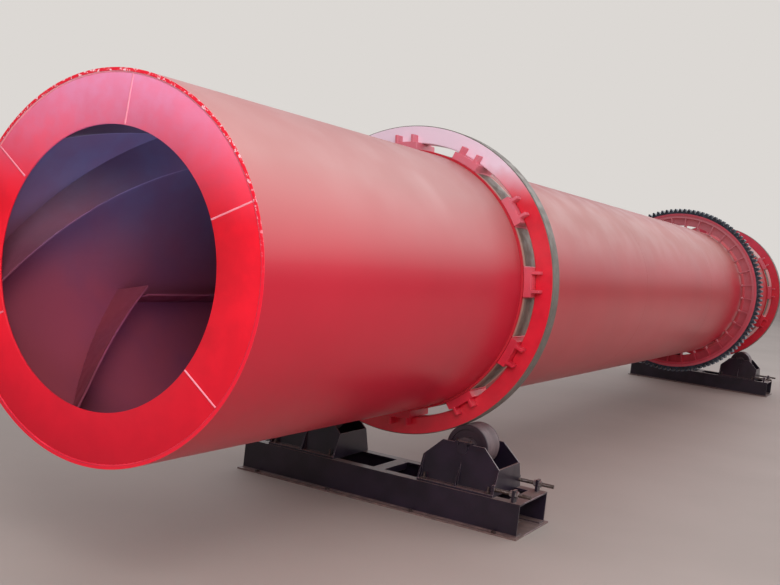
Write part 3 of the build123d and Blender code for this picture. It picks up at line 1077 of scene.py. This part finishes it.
@dataclass
class DrumEnd:
    """One end of the drum: its end plate, its riding ring and the chairs under the ring."""

    dresser: Dresser
    end: End
    shell_bore: float = 0.786
    opening_radius: float = 0.577
    opening_edge: float = 0.0025
    plate_steps: int = 240
    seam_angles: tuple[float, ...] = (35, 95, 155, 215, 335)
    seam_insets: Pair = (0.004, 0.006)
    seam_size: Pair = (0.008, 0.003)
    fillet_size: Pair = (0.01, 0.0048)
    tyre_radius: float = 0.97
    tyre_bore: float = 0.86
    tyre_corner: float = 0.005
    tyre_steps: int = 320
    chairs: int = 12
    chair_turn: float = -6.0
    chair_half_length: float = 0.088
    chair_edge: float = 0.003
    chair_weld: float = 0.014
    weld_inset: float = 0.004
    band_radius: float = 0.8123

    def build(self) -> None:
        """Dress and detail this end."""
        self.plate()
        self.plate_welds()
        self.tyre()
        self.chair_plates()

    def plate(self) -> None:
        """Turn the annular end plate with a rounded opening."""
        end = self.end
        low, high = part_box(f"{end.label}_end_plate")
        inner, edge = self.opening_radius, self.opening_edge
        form = Form()
        form.lathe(
            [
                (low.x, high.y), (low.x, inner + edge), (low.x + edge, inner),
                (high.x - edge, inner), (high.x, inner + edge), (high.x, high.y),
            ],
            self.plate_steps,
        )
        name, finish = f"{end.label}_end_annulus", self.dresser.paints.end_plate
        made = form.piece(name, "drum", "end_red", finish, angle=PLATE_ANGLE)
        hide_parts(f"{end.label}_end_plate")

    def plate_welds(self) -> None:
        """Lay the radial seams of the end plate and the fillet round its rim."""
        end, paints = self.end, self.dresser.paints
        low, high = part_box(f"{end.label}_end_plate")
        out = end.value
        face_x = low.x if end is End.FEED else high.x
        seams, face = Form(), on_axis(face_x)
        inner = self.opening_radius + self.seam_insets[0]
        outer = self.shell_bore - self.seam_insets[1]
        for angle in self.seam_angles:
            unit = spoke(math.radians(angle))
            start, stop = face + unit * inner, face + unit * outer
            seams.straight_bead(start, stop, along_x(out), self.seam_size)
        name = f"{end.label}_plate_seams"
        seams.piece(name, "drum", "end_red", paints.seam, angle=WELD_ANGLE)
        fillet = Form()
        fillet.ring_bead(face_x, self.shell_bore, (out, -1), self.fillet_size)
        name = f"{end.label}_plate_fillet"
        fillet.piece(name, "drum", "end_red", paints.bead, angle=WELD_ANGLE)

    def tyre(self) -> None:
        """Turn the riding ring with broken corners, red faces and a bare running face."""
        end, paints = self.end, self.dresser.paints
        low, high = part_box(f"{end.label}_tyre")
        corner, outer, inner = self.tyre_corner, self.tyre_radius, self.tyre_bore
        form = Form()
        form.lathe(
            [
                (low.x, inner + corner), (low.x, outer - corner), (low.x + corner, outer),
                (high.x - corner, outer), (high.x, outer - corner), (high.x, inner + corner),
                (high.x - corner, inner), (low.x + corner, inner),
            ],
            self.tyre_steps, [0, 1, 1, 1, 0, 0, 0, 0],
        )
        finishes = paints.tyre_faces[end], paints.turned
        name = f"{end.label}_riding_ring"
        made = form.piece(name, "drum", "tyre_steel", *finishes, angle=RING_ANGLE)
        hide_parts(f"{end.label}_tyre")

    def chair_plates(self) -> None:
        """Soften the chairs and lay the fillets that hold them to the wear band."""
        end, finish = self.end, self.dresser.paints.bracket
        node, name = f"{end.label}_tyre_chairs", f"{end.label}_chair_plates"
        self.dresser.soften(node, name, "drum", "bracket_red", self.chair_edge, finish)
        low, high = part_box(f"{end.label}_tyre_chairs")
        form = Form()
        ends_x = low.x + self.weld_inset, high.x - self.weld_inset
        foot = math.sqrt(self.band_radius ** 2 - self.chair_half_length ** 2)
        for chair in range(self.chairs):
            angle = math.tau * chair / self.chairs + math.radians(self.chair_turn)
            form.foot_beads(ends_x, angle, foot, self.chair_half_length, self.chair_weld)
        name = f"{end.label}_chair_welds"
        form.piece(name, "drum", "bracket_red", finish, angle=WELD_ANGLE)


@dataclass
class Drum:
    """The turning drum: shell, flights, gear and both ends."""

    dresser: Dresser
    courses: range = range(1, 6)
    seam_radius: float = 0.7994
    seam_size: Pair = (0.02, 0.0012)
    seam_inset: float = 0.01
    course_seam_angles: tuple[float, ...] = (300, 40, 335, 70, 310)
    gussets: int = 32
    gusset_foot: float = 0.7995
    gusset_half: float = 0.006
    gusset_weld: float = 0.012
    carrier_half_width: float = 0.055

    def build(self) -> None:
        """Dress and detail the whole drum."""
        paints, paint = self.dresser.paints, self.dresser.paint
        paint(paints.inside, "feed_spiral_flights")
        for number in self.courses:
            paint(paints.shell, f"shell_course_{number}")
            paint(paints.inside, f"lifting_flights_row_{number}")
        paint(paints.wear_band, "feed_wear_band", "discharge_wear_band")
        paint(paints.carrier, "gear_carrier")
        paint(paints.gear, "ring_gear")
        for end in End:
            DrumEnd(self.dresser, end).build()
        self.shell_seams()
        self.gusset_welds()

    def shell_seams(self) -> None:
        """Lay the painted-over butt welds between the shell's courses and along them."""
        form = Form()
        for course, angle in zip(self.courses, self.course_seam_angles):
            low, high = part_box(f"shell_course_{course}")
            if course < self.courses[-1]:
                form.ring_bead(high.x, self.seam_radius, (0, 1), self.seam_size)
            unit = spoke(math.radians(angle))
            place = on_axis() + unit * self.seam_radius
            start = place + along_x(low.x + self.seam_inset)
            end = place + along_x(high.x - self.seam_inset)
            form.straight_bead(start, end, unit, self.seam_size)
        finish = self.dresser.paints.shell
        form.piece("shell_butt_welds", "drum", "shell_red", finish, angle=WELD_ANGLE)

    def gusset_welds(self) -> None:
        """Lay the fillets that hold the gear carrier's gussets to the shell."""
        low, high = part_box("gear_carrier")
        middle = (low.x + high.x) / 2
        ends_x = middle - self.carrier_half_width, middle + self.carrier_half_width
        form = Form()
        for gusset in range(self.gussets):
            angle = math.tau * gusset / self.gussets
            form.foot_beads(
                ends_x, angle, self.gusset_foot, self.gusset_half, self.gusset_weld
            )
        finish = self.dresser.paints.carrier
        form.piece("gusset_welds", "drum", "bracket_red", finish, angle=WELD_ANGLE)


@dataclass
class Station:
    """One floor station with its frame, two roller boxes and their fasteners."""

    dresser: Dresser
    end: End
    strip_top: float = 0.01
    beam_half_length: float = 0.98165
    web_x: float = 0.235
    web_weld: float = 0.012
    anchor_x: float = 0.257
    anchor_rows: tuple[float, ...] = (0.3, 0.84965)
    anchor_size: float = 0.016
    base_top: float = 0.214
    foot_bolt_x: float = 0.206
    foot_bolt_y: float = 0.212
    foot_bolt: float = 0.014
    plate_foot: float = 0.185
    plate_weld: float = 0.011
    box_half_length: float = 0.252
    cap_top: float = 0.477
    cap_x: float = 0.151
    cap_bolt_y: float = 0.042
    cap_bolt: float = 0.012
    screw_x: float = 0.1975
    screw_z: float = 0.246
    screw: float = 0.024
    lug_faces: Pair = (0.91965, 0.93565)
    plate_edge: float = 0.0035
    thin_edge: float = 0.002

    def build(self) -> None:
        """Dress and detail the station."""
        label, paints, paint = self.end.label, self.dresser.paints, self.dresser.paint
        thick, thin = self.plate_edge, self.thin_edge
        softened = {
            "near_beam": thick, "far_beam": thick, "cross_member": thin, "end_ties": thin,
            "left_roller_box": thick, "right_roller_box": thick,
        }
        for node, width in softened.items():
            self.dresser.soften(
                f"{label}_{node}", f"{label}_{node}_plates", "stations", "frame_black",
                width, paints.black, paints.edge,
            )
        paint(paints.black, f"{label}_roller_axles")
        paint(paints.screw, f"{label}_adjusting_screws")
        paint(paints.roller, f"{label}_left_roller", f"{label}_right_roller")
        self.anchors()
        self.box_bolts()
        self.screw_nuts()
        self.frame_welds()

    def at(self, x: float, y: float, z: float) -> Vector:
        """A point given from the middle of the station's frame."""
        return Vector((JOINTS[f"{self.end.label}_right_roller_spin"][0] + x, y, z))

    def anchors(self) -> None:
        """Set the anchor bolts in the holes of the base strips."""
        form = Form()
        for x, row, side in product((-self.anchor_x, self.anchor_x), self.anchor_rows, (-1, 1)):
            seat = self.at(x, side * row, self.strip_top)
            form.fasten(Fastener.HEX_BOLT, seat, self.anchor_size, x + side * row * 3)
        self.bolts(form, "anchor_bolts", self.dresser.paints.zinc)

    def box_bolts(self) -> None:
        """Set the bolts of the roller boxes' feet and bearing caps."""
        form = Form()
        for side, x, y in product((-1, 1), repeat=3):
            middle = side * ROLLER_Y
            seat = self.at(x * self.foot_bolt_x, middle + y * self.foot_bolt_y, self.base_top)
            form.fasten(Fastener.NUT_ON_STUD, seat, self.foot_bolt, x + y * 2)
            seat = self.at(x * self.cap_x, middle + y * self.cap_bolt_y, self.cap_top)
            form.fasten(Fastener.HEX_BOLT, seat, self.cap_bolt, x * 2 + y)
        self.bolts(form, "box_bolts", self.dresser.paints.zinc)

    def screw_nuts(self) -> None:
        """Set a nut each side of the lugs that the adjusting screws go through."""
        form = Form()
        lugs = list(zip(self.lug_faces, (-1, 1)))
        for side, x, (face, out) in product((-1, 1), (-self.screw_x, self.screw_x), lugs):
            seat, along = self.at(x, side * face, self.screw_z), Vector((0, side * out, 0))
            form.fasten(Fastener.SCREW_NUT, seat, self.screw, x * 3 + out, along)
        self.bolts(form, "screw_nuts", self.dresser.paints.nut)

    def bolts(self, form: Form, name: str, finish: Material) -> None:
        """Close a form of fasteners as one of the station's pieces."""
        form.piece(f"{self.end.label}_{name}", "stations", "bright_steel", finish)

    def frame_welds(self) -> None:
        """Lay the fillets along the base strips and under the boxes' side plates."""
        form = Form()
        for side in (-1, 1):
            runs = [(self.web_x, 0.0, self.beam_half_length, self.strip_top, self.web_weld)]
            for box in (-ROLLER_Y, ROLLER_Y):
                half, top = self.box_half_length, self.base_top
                runs.append((self.plate_foot, box, half, top, self.plate_weld))
            for x, middle, half, z, width in runs:
                start, end = (self.at(side * x, middle + y, z) for y in (-half, half))
                form.straight_bead(start, end, Vector((side, 0, 1)), (width, width / 2))
        name, finish = f"{self.end.label}_frame_welds", self.dresser.paints.black
        form.piece(name, "stations", "frame_black", finish, angle=WELD_ANGLE)


@dataclass
class Panel:
    """A soft lamp panel that looks at a point; both are given from the drum's feed end."""

    name: str
    place: Point
    target: Point
    size: Pair
    watts: float
    colour: str = "#ffffff"
    spread: float = 180
    mirrored: bool = True

    def hang(self) -> None:
        """Hang the panel where the camera doesn't see it."""
        lamp = bpy.data.lights.new(self.name, "AREA")
        lamp.shape = "RECTANGLE"
        lamp.size, lamp.size_y = self.size
        lamp.energy = self.watts
        lamp.spread = math.radians(self.spread)
        lamp.color = linear(self.colour)[:3]
        made = add_object(self.name, lamp)
        made.location = Vector(self.place) + along_x(FEED_X)
        made.rotation_mode = "QUATERNION"
        direction = Vector(self.target) - Vector(self.place)
        made.rotation_quaternion = direction.to_track_quat("-Z", "Y")
        made.visible_camera = False
        made.visible_glossy = self.mirrored


PANELS = (
    Panel("roof_panel", (7.6, 0, 9), (7.6, 0, 0), (26, 9), 370),
    Panel("end_window", (33.6, -6, 17.2), (3.6, -0.7, 1.5), (28, 15.5), 1430),
    Panel("side_window", (8.6, -12, 6), (8.2, 0, 1.2), (16, 4), 380),
    Panel("feed_lamp", (-3.2, -3, 3.6), (0, 0, 1.39), (2.4, 2.4), 215),
    Panel(
        "bore_lamp_high", (0.26, -0.22, 1.2), (1.3, 0.25, 1.95), (0.4, 0.4), 11, "#a4b0e2",
        160, False,
    ),
    Panel(
        "bore_lamp_low", (0.22, 0.36, 1.5), (1.2, -0.3, 0.75), (0.3, 0.3), 1.2, "#ffd9d2",
        150, False,
    ),
)


@dataclass
class Studio:
    """Floor, soft light and the camera at the photograph's place, given from the feed end."""

    paints: Paints
    eye: Point = (-3.0016, -2.9256, 1.6558)
    right: Point = (0.47470843, -0.87246901, 0.11597297)
    up: Point = (-0.00643722, 0.12832085, 0.99171181)
    forward: Point = (0.88011958, 0.4715205, -0.05529872)
    lens: float = 46.70
    clip: Pair = (0.05, 300)
    floor_reach: float = 90.0
    horizon: str = "#676260"
    clerestory: str = "#f3f2f4"
    clerestory_rise: Pair = (0.0, 0.17)
    roof: str = "#b0b1b6"
    roof_rise: Pair = (0.42, 0.7)
    dimmed_run: Pair = (-0.8, 0.2)
    dimmed_share: float = 0.3
    backdrop: str = "#dcd8d4"

    def build(self) -> None:
        """Make the stage, the lamps, the world and the camera."""
        self.floor()
        self.world()
        for panel in PANELS:
            panel.hang()
        self.camera()

    def floor(self) -> None:
        """Lay the plain floor."""
        reach = self.floor_reach
        corners = [(-reach, -reach, 0), (reach, -reach, 0), (reach, reach, 0), (-reach, reach, 0)]
        data = bpy.data.meshes.new("floor")
        data.from_pydata(corners, [], [range(4)])
        data.materials.append(self.paints.floor)
        add_object("floor", data)

    def world(self) -> None:
        """Light the scene like a hall: dull walls, a bright band of windows, a greyer roof."""
        world = bpy.data.worlds.new("hall")
        bpy.context.scene.world = world
        world.use_nodes = True
        tree = world.node_tree
        ray = add_node(tree, "TexCoord")["Generated"]
        direction = add_node(tree, "SeparateXYZ", None, {0: ray})
        light: Socket | Colour = linear(self.horizon)
        bands = (self.clerestory_rise, self.clerestory), (self.roof_rise, self.roof)
        for (start, end), colour in bands:
            rise = {"Value": direction["Z"], 1: start, 2: end, 3: 0.0, 4: 1.0}
            share = add_node(tree, "MapRange", {"interpolation_type": "SMOOTHSTEP"}, rise)[0]
            mixed = {0: share, 6: light, 7: linear(colour)}
            light = add_node(tree, "Mix", {"data_type": "RGBA"}, mixed)[2]
        start, end = self.dimmed_run
        run = {"Value": direction["X"], 1: start, 2: end, 3: self.dimmed_share, 4: 1.0}
        scaled = {0: light, "Scale": add_node(tree, "MapRange", None, run)[0]}
        light = add_node(tree, "VectorMath", {"operation": "SCALE"}, scaled)[0]
        seen = add_node(tree, "LightPath")["Is Camera Ray"]
        mixed = {0: seen, 6: light, 7: linear(self.backdrop)}
        shown = add_node(tree, "Mix", {"data_type": "RGBA"}, mixed)[2]
        tree.links.new(shown, tree.nodes["Background"].inputs["Color"])
        tree.nodes["Background"].inputs["Strength"].default_value = 1.0

    def camera(self) -> None:
        """Stand the camera where the photograph was taken."""
        data = bpy.data.cameras.new("camera")
        data.lens = self.lens
        data.clip_start, data.clip_end = self.clip
        made = add_object("camera", data)
        axes = (self.right, self.up, tuple(-part for part in self.forward))
        turn = Matrix([[axis[row] for axis in axes] for row in range(3)]).to_4x4()
        made.matrix_world = Matrix.Translation(Vector(self.eye) + along_x(FEED_X)) @ turn
        bpy.context.scene.camera = made


def main() -> None:
    """Build the dressed dryer and its studio."""
    logging.basicConfig(level=logging.INFO, format="%(message)s")
    paints = Paints()
    dresser = Dresser(paints)
    Drum(dresser).build()
    for end in End:
        Station(dresser, end).build()
    Studio(paints).build()
    bpy.context.scene.view_settings.view_transform = "Standard"


if __name__ == "__main__":
    main()
